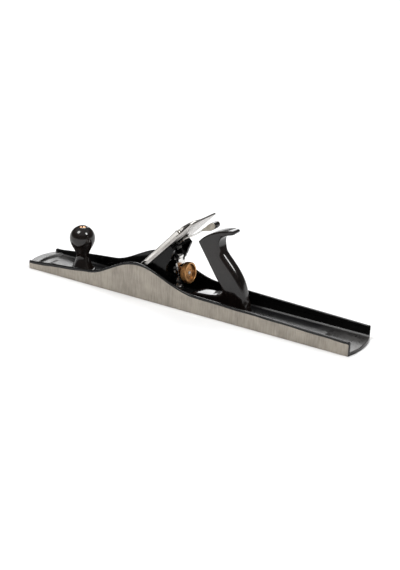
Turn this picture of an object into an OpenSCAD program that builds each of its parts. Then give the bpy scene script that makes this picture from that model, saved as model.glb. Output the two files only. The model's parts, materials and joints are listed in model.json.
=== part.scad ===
// Jointer bench plane: an iron body with a 45 degree frog, a screw-adjusted iron and a lever cap.
// Toe towards -X, heel towards +X, sole on Z = 0, origin at the middle of the sole. Millimetres.

/* [Body] */
// Length of the sole over its rounded ends
body_l = 559; // [520:1:600]
// Width of the sole
body_w = 70; // [69:0.5:76]
// Thickness of the sole
sole_t = 4.5; // [4:0.1:5]
// Thickness of each side wall
wall_t = 3.5; // [3:0.1:4]
// How far the toe bulges past its corners
toe_bulge = 10.8; // [6:0.1:14]
// How far the heel bulges past its corners
heel_bulge = 6; // [4:0.1:10]
// Height of the side wall at the toe
wall_toe_h = 12.8; // [10:0.1:16]
// Height of the side wall just ahead of the hump
wall_front_h = 22.5; // [16:0.1:24]
// Height of the hump beside the frog
wall_hump_h = 54; // [46:0.1:56]
// Height of the side wall just behind the hump
wall_rear_h = 27; // [22:0.1:30]
// Height of the side wall at the heel
wall_heel_h = 20.5; // [17:0.1:24]

/* [Iron and cap iron] */
// Angle of the bed that the iron lies on
bed_angle = 45; // [45:1:45]
// Width of the iron
iron_w = 60; // [57:0.1:60.3]
// Length of the iron
iron_l = 187; // [185:1:205]
// Thickness of the iron
iron_t = 2.5; // [2.2:0.1:2.6]
// Grinding angle of the iron's bevel
bevel_angle = 25; // [22:1:30]
// Thickness of the cap iron
cap_iron_t = 2; // [1.8:0.1:2.2]

/* [Handles] */
// Height of the knob's top over the sole
knob_top = 75.7; // [72:0.1:78]
// Diameter of the knob's ball
knob_d = 39; // [36:0.5:42]
// Thickness of the tote
tote_t = 23; // [20:0.5:25]

/* [Depth adjuster] */
// Diameter of the knurled depth wheel
wheel_d = 32; // [28:0.5:34]
// Thickness of the depth wheel
wheel_t = 10.5; // [10:0.1:11]
// Tilt of the depth stud above level
stud_tilt = 8; // [6:1:10]

/* [Hidden] */
$fn = 64;

run = 0.05;   // radial clearance of a running fit
slip = 0.05;  // gap between two flat faces that slide on each other

// Body
half_l = body_l / 2;
half_w = body_w / 2;
inner_w = half_w - wall_t;
toe_r = (half_w * half_w + toe_bulge * toe_bulge) / (2 * toe_bulge);
heel_r = (half_w * half_w + heel_bulge * heel_bulge) / (2 * heel_bulge);
wall_x0 = -half_l + toe_bulge + 0.6;
wall_x1 = half_l - heel_bulge - 0.6;
hump_x0 = -158;
hump_x = -65.5;
hump_x1 = 34;
mouth_front = 6;     // from the bed line forward to the mouth's front edge
mouth_rear = 6.5;    // from the bed line back to the mouth's rear edge
mouth_w = 62.6;
seat_h = 10;         // top of the land that the frog stands on
seat_x = [-90, -30];
seat_w = 38;
lug_x = [-45, -36];  // threaded lug for the frog adjusting screw
lug_w = 14;
lug_h = 24;
spine_h = 2.2;       // low rib along the middle of the bed
spine_w = 16;
spine_x = [106, 225];
toe_lip_x = -265;    // the bed is thicker ahead of this
toe_lip_h = 7.8;
throat_lip_h = 7;    // thick lip ahead of the mouth
throat_lip_l = 16;

// Bed line: s runs up the bed from the sole, h stands square to it
bed_x = -103.4;
root_half = sqrt(0.5);
function bed(s, h) = [bed_x + (s - h) * root_half, (s + h) * root_half];

// Frog
frog_w = 49;
frog_top = 125;
frog_plate = 6;
frog_web = 4.5;
frog_rear = -21.7;
frog_back_top = 44;  // top of the wall across the frog's back
frog_heel_h = 50;    // where the frog's webs leave that wall
frog_base = 3.5;
frog_step = seat_x[0] - 2;
frog_screw_x = -57;
frog_screw_y = 12;
frog_screw_r = 3;
frog_travel = 1.5;
adjust_z = 18;
adjust_r = 3;
clip_x = -16.2;
clip_t = 1.9;
clip_screw_z = 27.5;

// Places up the bed
cap_screw_s = 45;
lever_screw_s = 72;
lever_screw_r = 3.75;
yoke_tip_s = 96.5;
disc_s = 108;
lateral_s = 118;
lateral_recess = 3.4;
strip_h = -3.2;      // underside of the lateral lever's strip
strip_t = 2;
pin_s = 140;
pin_h = 9.2;
pin_r = 2;
cam_r = 3.7;
rivet_s = 112;
leaf_top = 8.5;      // top of the leaf spring where it is riveted
leaf_low = 5.2;      // top of the leaf spring under the cam
lever_seat_h = 8.9;  // where the lever cap screw's head bears
yoke_pin_s = 109;
yoke_pin_h = -16;
yoke_pin_at = bed(yoke_pin_s, yoke_pin_h);
yoke_pin_r = 2.5;
iron_edge_z = 0.3;
iron_tip_s = iron_edge_z / root_half - iron_t;
iron_end_s = iron_tip_s + iron_l;
cap_top = iron_t + cap_iron_t;
slot_r = 5.8;
cap_end_s = 147;     // top end of the cap iron
lever_end_s = 147;   // rear of the lever cap's ears
ear_s = 131;         // front of the gap between the ears

// Depth stud: t runs rearward along it, from the wheel's rear face
stud_at = [5.5, 0, 44.5];
stud_r = 3.15;
collar_r = 8;
groove_r = 5.5;
groove_t = [-17.6, -12.2];
journal_r = 5;

// Handles
knob_x = -191.6;
knob_foot = 5.8;
knob_bolt_r = 3;
nut_top = knob_top - 2.2;
tote_foot = 7;
tote_toe_x = 11;
tote_screw_x = 22.5;
tote_bolt_top = [45, 0, 112];
tote_bolt_foot = [84, 0, 12];

// Smooth ramp from 0 to 1
function ease(t) = t <= 0 ? 0 : t >= 1 ? 1 : t * t * (3 - 2 * t);
function mix(a, b, t) = a + (b - a) * t;
function lerp_x(x, x0, x1) = (x - x0) / (x1 - x0);

// Height of the side wall at x
function wall_h(x) =
    x < hump_x0 ? mix(wall_toe_h, wall_front_h, lerp_x(x, wall_x0, hump_x0))
    : x < hump_x ? mix(wall_front_h, wall_hump_h, ease(lerp_x(x, hump_x0, hump_x)))
    : x < hump_x1 ? mix(wall_hump_h, wall_rear_h, ease(lerp_x(x, hump_x, hump_x1)))
    : mix(wall_rear_h, wall_heel_h, lerp_x(x, hump_x1, wall_x1));

// Cubic curve through two end points with two handles
function curve(p, t) =
    pow(1 - t, 3) * p[0] + 3 * pow(1 - t, 2) * t * p[1] + 3 * (1 - t) * t * t * p[2]
    + t * t * t * p[3];
function curve_points(p, steps) = [for (i = [0 : steps - 1]) curve(p, i / steps)];

// A side outline in X and Z, drawn across the plane at width w
module across(w) {
    rotate([90, 0, 0])
        linear_extrude(height = w, center = true)
            children();
}

// Children drawn with X up the bed and Z square to it
module on_bed(s = 0, h = 0) {
    translate([bed_x, 0, 0])
        rotate([0, -bed_angle, 0])
            translate([s, 0, h])
                children();
}

// Children drawn with X along the depth stud
module on_stud(t = 0) {
    translate(stud_at)
        rotate([0, -stud_tilt, 0])
            translate([t, 0, 0])
                children();
}

// Rod along X
module rod_x(r, x0, x1) {
    translate([x0, 0, 0])
        rotate([0, 90, 0])
            cylinder(r = r, h = x1 - x0);
}

// Rod along Y, centred
module rod_y(r, w) {
    rotate([90, 0, 0])
        cylinder(r = r, h = w, center = true);
}

// Rod along Z
module rod_z(r, z0, z1) {
    translate([0, 0, z0])
        cylinder(r = r, h = z1 - z0);
}

// Block between two corners
module block(lo, hi) {
    translate(lo)
        cube(hi - lo);
}

// Round-ended slot along X, cut through from z0 to z1
module slot_x(r, x0, x1, z0, z1) {
    translate([x0, 0, 0]) rod_z(r, z0, z1);
    translate([x1, 0, 0]) rod_z(r, z0, z1);
    block([x0, -r, z0], [x1, r, z1]);
}

// Screwdriver slot across Y
module driver_slot(r, z, depth = 1.2) {
    block([-0.6, -r - 1, z - depth], [0.6, r + 1, z + 1]);
}

// ---------------------------------------------------------------- body

module sole_outline() {
    intersection() {
        square([body_l, body_w], center = true);
        union() {
            translate([-half_l + toe_r, 0]) circle(r = toe_r, $fn = 128);
            translate([-half_l + toe_r, -half_w]) square([body_l, body_w]);
        }
        union() {
            translate([half_l - heel_r, 0]) circle(r = heel_r, $fn = 128);
            translate([half_l - heel_r - body_l, -half_w]) square([body_l, body_w]);
        }
    }
}

module side_wall_outline() {
    step = 6;
    tops = [for (x = [hump_x0 : step : hump_x1]) [x, wall_h(x)]];
    polygon(concat(
        [[wall_x0, 0], [wall_x0, wall_toe_h]],
        tops,
        [[wall_x1, wall_heel_h], [wall_x1, 0]]
    ));
}

module body() {
    color("dimgray")
    difference() {
        union() {
            linear_extrude(height = sole_t) sole_outline();
            for (side = [-1, 1])
                translate([0, side * (half_w - wall_t / 2), 0])
                    across(wall_t) side_wall_outline();
            // land for the frog, with the lug for its adjusting screw
            block([seat_x[0], -seat_w / 2, 0], [seat_x[1], seat_w / 2, seat_h]);
            block([lug_x[0], -lug_w / 2, 0], [lug_x[1], lug_w / 2, lug_h]);
            // thick lip ahead of the mouth
            block([bed_x - mouth_front - throat_lip_l, -inner_w - 1, 0],
                [bed_x - mouth_front, inner_w + 1, throat_lip_h]);
            // thicker bed at the toe
            linear_extrude(height = toe_lip_h)
                intersection() {
                    sole_outline();
                    translate([-half_l, -inner_w - 1])
                        square([toe_lip_x + half_l, 2 * inner_w + 2]);
                }
            // knob seat with its raised ring
            translate([knob_x, 0, 0]) rod_z(19.5, 0, 8);
            // tote seat and low ribs
            block([60, -12, 0], [106, 12, tote_foot]);
            translate([tote_screw_x, 0, 0]) rod_z(11.5, 0, tote_foot);
            block([spine_x[0], -spine_w / 2, 0], [spine_x[1], spine_w / 2, sole_t + spine_h]);
            block([-246, -spine_w / 2, 0], [knob_x, spine_w / 2, sole_t + spine_h / 2]);
        }
        block([bed_x - mouth_front, -mouth_w / 2, -1], [bed_x + mouth_rear, mouth_w / 2, sole_t + 4]);
        translate([knob_x, 0, 0]) rod_z(16.6, knob_foot, 9);
        translate([knob_x, 0, 0]) rod_z(knob_bolt_r, 1.5, 9);
        along_tote_bolt() rod_z(knob_bolt_r, 1, 12);
        translate([tote_screw_x, 0, 0]) rod_z(2.5, 1.5, 9);
        translate([0, 0, adjust_z]) rod_x(adjust_r + run, lug_x[0] - 1, lug_x[1] + 1);
        for (side = [-1, 1])
            translate([frog_screw_x, side * frog_screw_y, 0]) rod_z(frog_screw_r, 1.5, 12);
    }
}

// ---------------------------------------------------------------- frog

module frog_outline() {
    polygon([
        [bed_x + sole_t, sole_t], bed(frog_top, 0), bed(frog_top, -9), bed(114, -13.5),
        bed(108, -16.4), bed(99, -18.4), [frog_rear, frog_heel_h], [frog_rear, seat_h],
        [frog_step, seat_h], [frog_step, sole_t]
    ]);
}

module frog_hollow_outline() {
    polygon([
        bed(27, -frog_plate), bed(frog_top + 4, -frog_plate), bed(frog_top + 4, -40),
        [frog_rear + 1, frog_back_top], [frog_rear - 5.5, frog_back_top],
        [frog_rear - 5.5, seat_h + frog_base],
        [bed(27, -frog_plate)[0], seat_h + frog_base]
    ]);
}

module frog() {
    color("black")
    difference() {
        union() {
            difference() {
                across(frog_w) frog_outline();
                across(frog_w - 2 * frog_web) frog_hollow_outline();
            }
            // lugs for the yoke pin
            for (side = [-1, 1])
                translate([0, side * 9.5, 0])
                    on_bed(yoke_pin_s) {
                        translate([0, 0, yoke_pin_h]) rod_y(5, 5);
                        block([-5, -2.5, yoke_pin_h], [5, 2.5, -frog_plate + 1]);
                    }
            // bosses for the lever cap screw, the depth stud and the clip
            on_bed(lever_screw_s) rod_z(8, -13, -frog_plate + 1);
            on_stud() rod_x(7.5, -35, -27.5);
            translate([0, 0, clip_screw_z]) rod_x(4.6, frog_rear - 1, clip_x);
        }
        // openings in the face
        on_bed() block([34, -9.5, -frog_plate - 2], [56, 9.5, 1]);
        on_bed() block([91, -5, -frog_plate - 1], [110, 5, 1]);
        on_bed(0, -lateral_recess) linear_extrude(height = lateral_recess + 1)
            polygon([[101, -8.2], [101, 8.2], [frog_top + 1, 10.6], [frog_top + 1, -10.6]]);
        on_bed(lateral_s) rod_z(2.5, -frog_plate - 1, 0);
        on_bed(lever_screw_s) rod_z(lever_screw_r, -14, 1);
        on_stud() rod_x(stud_r, -36, -27);
        translate([0, 0, clip_screw_z]) rod_x(2.2, frog_rear - 4, clip_x + 1);
        translate([yoke_pin_at[0], 0, yoke_pin_at[1]]) rod_y(yoke_pin_r, 30);
        translate([0, 0, adjust_z]) rod_x(adjust_r + 0.8, frog_rear - 7, frog_rear + 1);
        // openings in the base for the hold-down screws and the lug
        for (side = [-1, 1])
            translate([frog_screw_x, side * frog_screw_y, 0])
                slot_x(frog_screw_r + 0.5, -frog_travel - 0.3, frog_travel + 0.3, 9, 14);
        block([lug_x[0] - 2.2, -lug_w / 2 - 0.6, 9], [lug_x[1] + 2.2, lug_w / 2 + 0.6, 14]);
    }
}

module frog_screws() {
    color("silver")
    for (side = [-1, 1])
        translate([frog_screw_x, side * frog_screw_y, 0])
            difference() {
                union() {
                    rod_z(frog_screw_r, 2, 16);
                    rod_z(5.5, 15 + slip, 19);
                }
                driver_slot(5.5, 19);
            }
}

module frog_washers() {
    color("silver")
    for (side = [-1, 1])
        translate([frog_screw_x, side * frog_screw_y, 0])
            difference() {
                rod_z(7, seat_h + frog_base + slip, 15);
                rod_z(frog_screw_r, 9, 20);
            }
}

module frog_adjusting_screw() {
    color("silver")
    translate([0, 0, adjust_z])
        difference() {
            union() {
                rod_x(adjust_r, -46, -9);
                rod_x(4.2, -18.2, clip_x - 0.3);
                rod_x(4.8, clip_x + clip_t + 0.3, -9);
            }
            block([-10.2, -0.6, -6], [-8, 0.6, 6]);
        }
}

module frog_clip() {
    color("silver")
    difference() {
        block([clip_x, -7.5, 14], [clip_x + clip_t, 7.5, 33]);
        translate([0, 0, adjust_z]) rod_x(adjust_r + 0.3, clip_x - 1, clip_x + clip_t + 1);
        block([clip_x - 1, -adjust_r - 0.3, 13], [clip_x + clip_t + 1, adjust_r + 0.3, adjust_z]);
        translate([0, 0, clip_screw_z]) rod_x(2.2, clip_x - 1, clip_x + clip_t + 1);
    }
}

module frog_clip_screw() {
    color("silver")
    translate([0, 0, clip_screw_z])
        difference() {
            union() {
                rod_x(2.2, frog_rear - 3.5, clip_x + clip_t + 1);
                rod_x(3.8, clip_x + clip_t, clip_x + clip_t + 2.2);
            }
            block([clip_x + clip_t + 1.3, -0.4, -5], [clip_x + clip_t + 3, 0.4, 5]);
        }
}

// ---------------------------------------------------------------- iron and cap iron

module iron() {
    color("lightgray")
    on_bed()
        difference() {
            across(iron_w)
                polygon([
                    [iron_tip_s, iron_t],
                    [iron_tip_s + iron_t / tan(bevel_angle), slip],
                    [iron_end_s, slip], [iron_end_s, iron_t]
                ]);
            slot_x(slot_r, cap_screw_s - 4, cap_end_s - 16, -1, 4);
            translate([cap_end_s - 13, 0, 0]) rod_z(9.5, -1, 4);
            for (side = [-1, 1])
                translate([iron_end_s, side * iron_w / 2, 0])
                    rotate([0, 0, 45])
                        cube([4, 4, 10], center = true);
        }
}

// Rise of the cap iron's hump over the iron at u, from 0 at its edge to 1 where it lies flat
function hump_rise(u) = 2.4 * sin(180 * pow(u, 0.75));

module cap_iron_outline() {
    edge = 1;
    flat = 23;
    steps = 10;
    polygon(concat(
        [for (i = [0 : steps])
            let (u = i / steps)
            [edge + u * (flat - edge), iron_t + hump_rise(u) + cap_iron_t * min(1, 0.15 + 3 * u)]],
        [[cap_end_s, cap_top], [cap_end_s, iron_t]],
        [for (i = [steps : -1 : 0])
            let (u = i / steps)
            [edge + u * (flat - edge), iron_t + hump_rise(u)]]
    ));
}

module cap_iron() {
    color("gainsboro")
    on_bed()
        difference() {
            across(iron_w - 1) cap_iron_outline();
            translate([cap_screw_s, 0, 0]) rod_z(3.9 + run, 1, 6);
            slot_x(5.6, 65, 79, 1, 6);
            block([yoke_tip_s - 2.9, -5, 1], [yoke_tip_s + 2.9, 5, 6]);
        }
}

module cap_iron_screw() {
    color("silver")
    on_bed(cap_screw_s)
        difference() {
            union() {
                rod_z(3.9, -1, cap_top - 0.1);
                rod_z(7.5, -3.6, 0);
            }
            block([-0.7, -9, -5], [0.7, 9, -2.4]);
        }
}

// ---------------------------------------------------------------- lever cap

module lever_cap_side() {
    skirt_h = cap_top + 0.2;
    polygon(concat(
        [[7, 7.2]],
        curve_points([[7, 8], [9, 9.2], [13, 9.4], [20, 9.4]], 6),
        curve_points([[20, 9.4], [60, 9.4], [105, 12.3], [lever_end_s, 12.3]], 10),
        [[lever_end_s, 12.3], [lever_end_s, skirt_h], [30, skirt_h], [24, 5], [18, 6.4], [12, 7.4]]
    ));
}

module lever_cap_plan() {
    polygon(concat(
        [[6, -29], [36, -29]],
        curve_points([[36, -29], [62, -28], [78, -22.5], [lever_end_s + 1, -21.5]], 10),
        curve_points([[lever_end_s + 1, 21.5], [78, 22.5], [62, 28], [36, 29]], 10),
        [[36, 29], [6, 29]]
    ));
}

// Hollow under the lever cap: side outline of the space below its plate
module lever_cap_hollow_side() {
    polygon([
        [24, 3], [28, 6.2], [rivet_s - 12, leaf_top + 0.1], [rivet_s + 8, leaf_top + 0.1],
        [ear_s + 1, 9.2], [ear_s + 1, 3]
    ]);
}

module lever_cap() {
    keyhole_s = lever_screw_s - 14;
    color("silver")
    on_bed()
        difference() {
            intersection() {
                across(70) lever_cap_side();
                linear_extrude(height = 30) lever_cap_plan();
            }
            across(36) lever_cap_hollow_side();
            // keyhole and the shallow seat of the screw head around it
            translate([keyhole_s, 0, 0]) rod_z(8.6, 2, 25);
            slot_x(4.2, keyhole_s, lever_screw_s, 2, 25);
            slot_x(8.6, keyhole_s, lever_screw_s, lever_seat_h, 25);
            // gap for the cam between the two ears
            block([ear_s, -15.4, 3], [lever_end_s + 1, 15.4, 25]);
            translate([pin_s, 0, pin_h]) rod_y(pin_r + 0.1, 60);
            translate([rivet_s, 0, 0]) rod_z(1.6, 5, 10);
        }
}

module cam_outline() {
    polygon(concat(
        [[pin_s, 12.5]],
        curve_points([[pin_s + 3, 12.7], [153, 13.4], [164, 11.4], [172, 5.6]], 10),
        [[172, 5.6], [170, 4.9]],
        curve_points([[170, 4.9], [161, 8.4], [155, 9], [149, 7.4]], 8),
        [[149, 7.4], [pin_s + 2, 6.6]]
    ));
}

// Seen square to the bed: a neck between the lever cap's ears, then a wide round-ended tongue
module cam_plan() {
    tongue_s = pin_s + 10;
    neck_w = 30;
    tongue_w = 38;
    translate([pin_s - 10, -neck_w / 2]) square([tongue_s - pin_s + 11, neck_w]);
    intersection() {
        translate([tongue_s + 6, 0]) circle(r = tongue_w / 2 + 0.1);
        translate([tongue_s, -tongue_w]) square([40, 2 * tongue_w]);
    }
    translate([tongue_s, -tongue_w / 2]) square([6, tongue_w]);
}

module lever_cap_cam() {
    color("silver")
    on_bed()
        difference() {
            union() {
                intersection() {
                    across(38) cam_outline();
                    linear_extrude(height = 30) cam_plan();
                }
                translate([pin_s, 0, pin_h]) rod_y(cam_r, 30);
            }
            translate([pin_s, 0, pin_h]) rod_y(pin_r + run, 60);
        }
}

module cam_pin() {
    color("silver")
    on_bed(pin_s, pin_h) {
        rod_y(pin_r, 42.6);
        for (side = [-1, 1])
            translate([0, side * 18.6, 0]) rod_y(pin_r + 0.1, 5.4);
    }
}

module lever_cap_spring() {
    leaf = 0.6;
    color("darkgoldenrod")
    on_bed()
        difference() {
            across(14)
                polygon([
                    [rivet_s - 5, leaf_top], [rivet_s - 5, leaf_top - leaf],
                    [rivet_s + 4, leaf_top - leaf], [ear_s - 1, leaf_low - leaf],
                    [lever_end_s - 1, leaf_low - leaf], [lever_end_s - 1, leaf_low],
                    [ear_s - 0.6, leaf_low], [rivet_s + 4.2, leaf_top]
                ]);
            translate([rivet_s, 0, 0]) rod_z(1.6, 5, 10);
        }
}

module spring_rivet() {
    color("silver")
    on_bed(rivet_s) {
        rod_z(1.6, 7, 10);
        rod_z(3.2, 6.8, leaf_top - 0.6);
    }
}

module lever_cap_screw() {
    color("silver")
    on_bed(lever_screw_s)
        difference() {
            union() {
                rod_z(lever_screw_r, -12, 10);
                rod_z(7.6, lever_seat_h + 0.2, 12.2);
            }
            driver_slot(7.6, 12.2);
        }
}

// ---------------------------------------------------------------- yoke and depth adjuster

// Direction from the yoke pin to the middle of the collar's groove
groove_mid = (groove_t[0] + groove_t[1]) / 2;
groove_at = [stud_at[0] + groove_mid * cos(stud_tilt), stud_at[2] + groove_mid * sin(stud_tilt)];
fork_arm = norm(groove_at - yoke_pin_at);
fork_lean = atan2(groove_at[0] - yoke_pin_at[0], yoke_pin_at[1] - groove_at[1]);

module yoke() {
    leg = 3.2;
    color("white")
    difference() {
        union() {
            translate([yoke_pin_at[0], 0, yoke_pin_at[1]]) rod_y(4.2, 13);
            on_bed()
                across(6)
                    polygon([
                        [94.3, 4], [95.1, 4.3], [98.1, 4.3], [98.7, 4], [99.1, -5], [109, -11.5],
                        [105, -17], [97, -9], [94.3, -4]
                    ]);
            translate([yoke_pin_at[0], 0, yoke_pin_at[1]])
                rotate([0, -fork_lean, 0]) {
                    block([-leg / 2, -5.5, -11], [leg / 2, 5.5, 0]);
                    block([-leg / 2, -10.5, -12], [leg / 2, 10.5, -7.5]);
                    for (side = [-1, 1])
                        translate([0, side * 8.2, 0])
                            block([-leg / 2, -2.3, -fork_arm - 4], [leg / 2, 2.3, -8]);
                }
        }
        translate([yoke_pin_at[0], 0, yoke_pin_at[1]]) rod_y(yoke_pin_r + run, 30);
    }
}

module yoke_pin() {
    color("silver")
    translate([yoke_pin_at[0], 0, yoke_pin_at[1]]) rod_y(yoke_pin_r, 24);
}

module depth_stud() {
    color("silver")
    on_stud() rod_x(stud_r, -35, -1.8);
}

module depth_collar() {
    color("peru")
    on_stud()
        difference() {
            union() {
                rod_x(collar_r, -21, groove_t[0]);
                rod_x(groove_r, groove_t[0] - 1, groove_t[1] + 1);
                rod_x(collar_r + 0.5, groove_t[1], -wheel_t - slip);
                rod_x(journal_r, groove_t[1], -2.6);
            }
            rod_x(stud_r + run, -22, 0);
        }
}

module depth_wheel() {
    dish_r = wheel_d / 2 - 3.6;
    color("peru")
    on_stud()
        difference() {
            rod_x(wheel_d / 2, -wheel_t, 0);
            rod_x(dish_r, -3.5, 1);
            rod_x(journal_r + run, -wheel_t - 1, 1);
        }
}

// ---------------------------------------------------------------- lateral lever

module lateral_lever() {
    strip_end = 130;
    color("silver")
    on_bed()
        difference() {
            union() {
                translate([0, 0, strip_h]) {
                    linear_extrude(height = strip_t)
                        polygon([
                            [disc_s, -5.5], [lateral_s, -6.5], [strip_end, -5.2],
                            [strip_end, 5.2], [lateral_s, 6.5], [disc_s, 5.5]
                        ]);
                    translate([disc_s, 0, 0]) rod_z(5.5, 0, strip_t);
                }
                across(10.4) lateral_arm();
                difference() {
                    across(14) thumb_tab();
                    across(9.6)
                        polygon([
                            [168, -11.6], [187, -12.2], [192.2, -14.6], [192.2, -24], [168, -24]
                        ]);
                }
            }
            translate([lateral_s, 0, 0]) rod_z(2.5 + run, -6, 2);
            translate([disc_s, 0, 0]) rod_z(1.8, -6, 2);
        }
}

// Side outline of the lateral lever's arm, bending away from the iron above the frog
module lateral_arm() {
    top = strip_h + strip_t;
    polygon(concat(
        curve_points([[129, top], [142, top], [152, -8.2], [176, -9.2]], 8),
        [[176, -9.2], [176, -11.2]],
        curve_points([[176, -11.2], [152, -10.2], [142, strip_h], [129, strip_h]], 8),
        [[129, strip_h]]
    ));
}

module thumb_tab() {
    polygon(concat(
        [[172, -9.4]],
        curve_points([[189, -10], [194, -10.6], [196.5, -13.6], [195.6, -17]], 6),
        curve_points([[195.6, -17], [194, -21], [187, -21], [182, -17.5]], 6),
        [[182, -17.5], [172, -11.4]]
    ));
}

module lateral_rivet() {
    color("silver")
    on_bed(lateral_s) {
        rod_z(2.5, -7.5, -0.6);
        rod_z(4, strip_h + strip_t + slip, -0.15);
        rod_z(4, -8, -6);
    }
}

module lateral_disc() {
    color("silver")
    on_bed(disc_s) {
        rod_z(5.4, strip_h + strip_t, 2.1);
        rod_z(1.8, strip_h, 0);
    }
}

// ---------------------------------------------------------------- knob and tote

module knob() {
    ball_r = knob_d / 2;
    ball_z = knob_top - ball_r;
    color("black")
    translate([knob_x, 0, 0])
        difference() {
            rotate_extrude($fn = 96)
                polygon(concat(
                    [[0, knob_foot], [15.4, knob_foot], [16.2, 7.2], [16, 9.4]],
                    curve_points([[16, 9.4], [15.2, 20], [10.6, 24], [10.6, 34]], 10),
                    curve_points([
                        [10.6, 34], [10.6, 41], [16, 43],
                        [ball_r * cos(28), ball_z - ball_r * sin(28)]
                    ], 6),
                    [for (a = [-28 : 8 : 76]) [ball_r * cos(a), ball_z + ball_r * sin(a)]],
                    [[0, ball_z + ball_r * sin(76)]]
                ));
            rod_z(knob_bolt_r + 0.4, 0, 90);
            rod_z(5.6, nut_top - 9, 90);
        }
}

module knob_bolt() {
    color("silver")
    translate([knob_x, 0, 0]) rod_z(knob_bolt_r, 2, nut_top - 6);
}

// Round-headed brass barrel nut, its top at z
module barrel_nut(z) {
    difference() {
        union() {
            rod_z(5.3, z - 3, z);
            rod_z(4.6, z - 8.6, z - 2);
        }
        rod_z(knob_bolt_r, z - 10, z - 6);
        driver_slot(5.3, z);
    }
}

module knob_nut() {
    color("goldenrod")
    translate([knob_x, 0, 0])
        barrel_nut(nut_top);
}

// Children drawn with Z up the tote bolt, from its foot
module along_tote_bolt() {
    reach = tote_bolt_top - tote_bolt_foot;
    translate([tote_bolt_foot[0], 0, tote_bolt_foot[2]])
        rotate([0, atan2(reach[0], reach[2]), 0])
            translate([0, 0, -tote_bolt_foot[2]])
                children();
}

tote_bolt_l = norm(tote_bolt_top - tote_bolt_foot) + tote_bolt_foot[2];

module tote_outline() {
    polygon(concat(
        // front edge, from the foot up to the top corner
        [[tote_toe_x, tote_foot], [tote_toe_x, 18.5]],
        curve_points([[tote_toe_x, 18.5], [14, 22.5], [36, 22], [50, 24.5]], 8),
        curve_points([[50, 24.5], [65, 26.5], [71, 31], [55.2, 49.5]], 8),
        [[55.2, 49.5], [22.8, 98.6]],
        // top, out to the horn
        curve_points([[22.8, 98.6], [32, 110], [46, 118], [64.5, 122.4]], 8),
        curve_points([[64.5, 122.4], [72, 124], [79, 126], [80.4, 124.2]], 5),
        // throat and back
        curve_points([[80.4, 124.2], [80, 120], [57.6, 117], [56.4, 103]], 10),
        curve_points([[56.4, 103], [55.8, 88], [83, 75], [94.6, 48.5]], 12),
        curve_points([[94.6, 48.5], [100.4, 34], [99, 28], [103.5, 20]], 8),
        [[103.5, 20], [103.5, tote_foot]]
    ));
}

module tote() {
    color("black")
    difference() {
        intersection() {
            across(tote_t) tote_outline();
            union() {
                translate([tote_toe_x + tote_t / 2, 0, 0]) rod_z(tote_t / 2, 0, 60);
                block([tote_toe_x + tote_t / 2, -tote_t, 0], [110, tote_t, 140]);
                block([0, -tote_t, 60], [110, tote_t, 140]);
            }
        }
        along_tote_bolt() rod_z(knob_bolt_r + 0.4, -20, tote_bolt_l + 20);
        along_tote_bolt() rod_z(5.6, tote_bolt_l - 9, tote_bolt_l + 20);
        translate([tote_screw_x, 0, 0]) rod_z(2.5, 0, 30);
        translate([tote_screw_x, 0, 0]) rod_z(4.8, 17.5, 30);
    }
}

module tote_bolt() {
    color("silver")
    along_tote_bolt() rod_z(knob_bolt_r, 1.2, tote_bolt_l - 6);
}

module tote_nut() {
    color("goldenrod")
    along_tote_bolt() barrel_nut(tote_bolt_l);
}

module tote_toe_screw() {
    color("silver")
    translate([tote_screw_x, 0, 0])
        difference() {
            union() {
                rod_z(2.5, 2, 19);
                rod_z(4.5, 17.5, 20.5);
            }
            driver_slot(4.5, 20.5);
        }
}

body();
frog();
frog_screws();
frog_washers();
frog_adjusting_screw();
frog_clip();
frog_clip_screw();
iron();
cap_iron();
cap_iron_screw();
lever_cap();
lever_cap_cam();
cam_pin();
lever_cap_spring();
spring_rivet();
lever_cap_screw();
yoke();
yoke_pin();
depth_stud();
depth_collar();
depth_wheel();
lateral_lever();
lateral_rivet();
lateral_disc();
knob();
knob_bolt();
knob_nut();
tote();
tote_bolt();
tote_nut();
tote_toe_screw();
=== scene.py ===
import json
import math

import bmesh
import bpy
import numpy as np
from mathutils import Matrix, Vector
from mathutils.geometry import delaunay_2d_cdt


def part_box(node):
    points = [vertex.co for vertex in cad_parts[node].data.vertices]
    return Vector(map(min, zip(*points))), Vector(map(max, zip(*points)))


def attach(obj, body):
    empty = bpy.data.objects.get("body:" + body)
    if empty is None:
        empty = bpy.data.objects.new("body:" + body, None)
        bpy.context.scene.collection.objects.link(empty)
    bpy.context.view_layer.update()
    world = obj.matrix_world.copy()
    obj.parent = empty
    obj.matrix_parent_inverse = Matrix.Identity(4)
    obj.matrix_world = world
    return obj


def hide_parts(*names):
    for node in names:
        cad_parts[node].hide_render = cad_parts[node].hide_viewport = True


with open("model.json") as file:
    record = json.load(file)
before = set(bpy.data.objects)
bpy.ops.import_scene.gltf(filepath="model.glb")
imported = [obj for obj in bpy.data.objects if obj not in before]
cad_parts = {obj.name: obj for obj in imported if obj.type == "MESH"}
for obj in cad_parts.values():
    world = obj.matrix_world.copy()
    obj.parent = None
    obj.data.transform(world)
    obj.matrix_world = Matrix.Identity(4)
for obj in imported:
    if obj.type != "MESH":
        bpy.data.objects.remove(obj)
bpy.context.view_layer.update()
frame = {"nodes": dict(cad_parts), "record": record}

# Lengths are millimetres here and metres in Blender.
MM = 0.001
ROOT_HALF = math.sqrt(0.5)
WELD_DIST, SLIVER_DIST = 0.002, 0.001     # vertices closer than this are merged
NO_RADIUS = 1e-6                          # a ring this small is one point on the axis
NO_THICKNESS = 1e-4                       # a rim this thin needs no wall


def node_box(name):
    """Lowest and highest corner of a CAD node, in millimetres."""
    lo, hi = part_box(name)
    return np.array(lo) / MM, np.array(hi) / MM


def joint_at(name):
    """A joint's place in millimetres."""
    for j in frame["record"]["behaviour"]["joints"]:
        if j["name"] == name:
            return np.array(j["pos_m"]) / MM
    raise ValueError(name)


# ---------------------------------------------------------------- dimensions

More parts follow.
